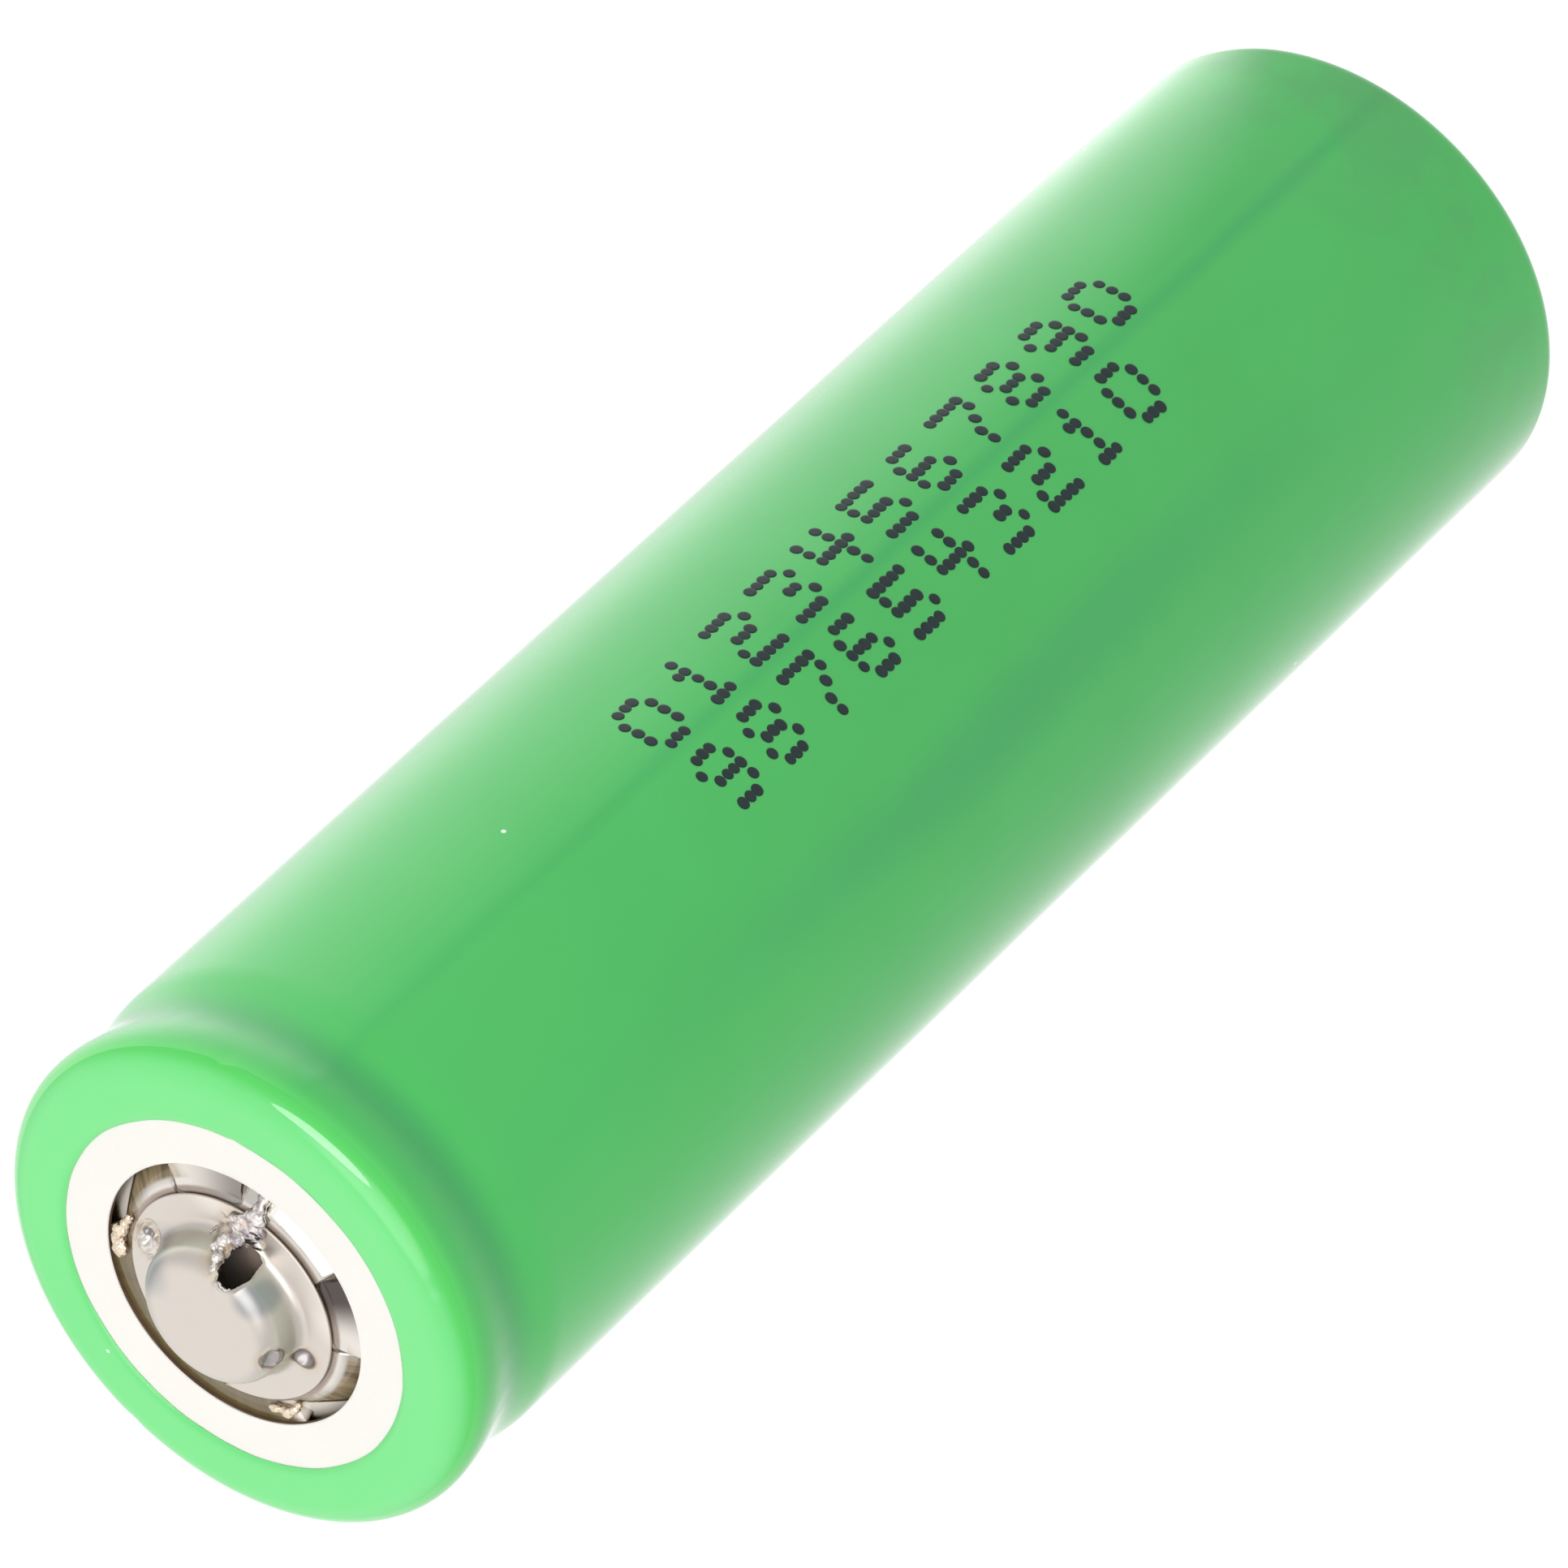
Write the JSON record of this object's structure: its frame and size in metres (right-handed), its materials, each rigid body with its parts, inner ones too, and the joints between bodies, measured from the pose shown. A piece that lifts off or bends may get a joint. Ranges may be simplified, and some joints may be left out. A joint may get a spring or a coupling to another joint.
{
  "type": "cylindrical battery cell",
  "caption": "Upright sleeved cylindrical lithium-ion cell with a raised positive button, an insulating ring and a rolled bead groove near the top.",
  "frame": {"origin": "centre of the negative end, on the plane that the sleeve's base fold stands on", "axes": "+Z along the cell from the negative end to the positive button; the burnt hole in the button faces -Y, 10 degrees towards +X"},
  "size_m": [0.0184, 0.0184, 0.0667],
  "materials": {
    "sleeve_pvc": "gloss",
    "ring_paper": "matte",
    "button_nickel": "polished",
    "cap_nickel": "polished",
    "weld_steel": "satin",
    "can_nickel": "satin",
    "gasket_plastic": "satin",
    "ptc_polymer": "satin",
    "vent_aluminium": "satin",
    "cid_plastic": "satin",
    "plate_aluminium": "satin",
    "tab_aluminium": "satin",
    "polyimide_tape": "gloss",
    "insulator_film": "matte",
    "separator_film": "matte",
    "cathode_coating": "matte",
    "anode_coating": "satin",
    "roll_tape": "gloss",
    "pin_steel": "satin",
    "tab_nickel": "satin"
  },
  "bodies": {
    "root": {"shrink_sleeve": "sleeve_pvc", "insulator_ring": "ring_paper", "button_terminal": "button_nickel", "positive_cap": "cap_nickel", "weld_bead_front": "weld_steel", "weld_spatter_right": "weld_steel", "weld_spatter_left": "weld_steel", "steel_can": "can_nickel", "sealing_gasket": "gasket_plastic", "ptc_ring": "ptc_polymer", "vent_disc": "vent_aluminium", "cid_insulator": "cid_plastic", "cid_contact_plate": "plate_aluminium", "cathode_tab": "tab_aluminium", "cathode_tab_tape": "polyimide_tape", "top_insulator": "insulator_film", "cathode_strip": "cathode_coating", "anode_strip": "anode_coating", "separator_inner": "separator_film", "separator_outer": "separator_film", "winding_tape": "roll_tape", "center_pin": "pin_steel", "anode_tab": "tab_nickel", "bottom_insulator": "insulator_film"}
  },
  "joints": []
}
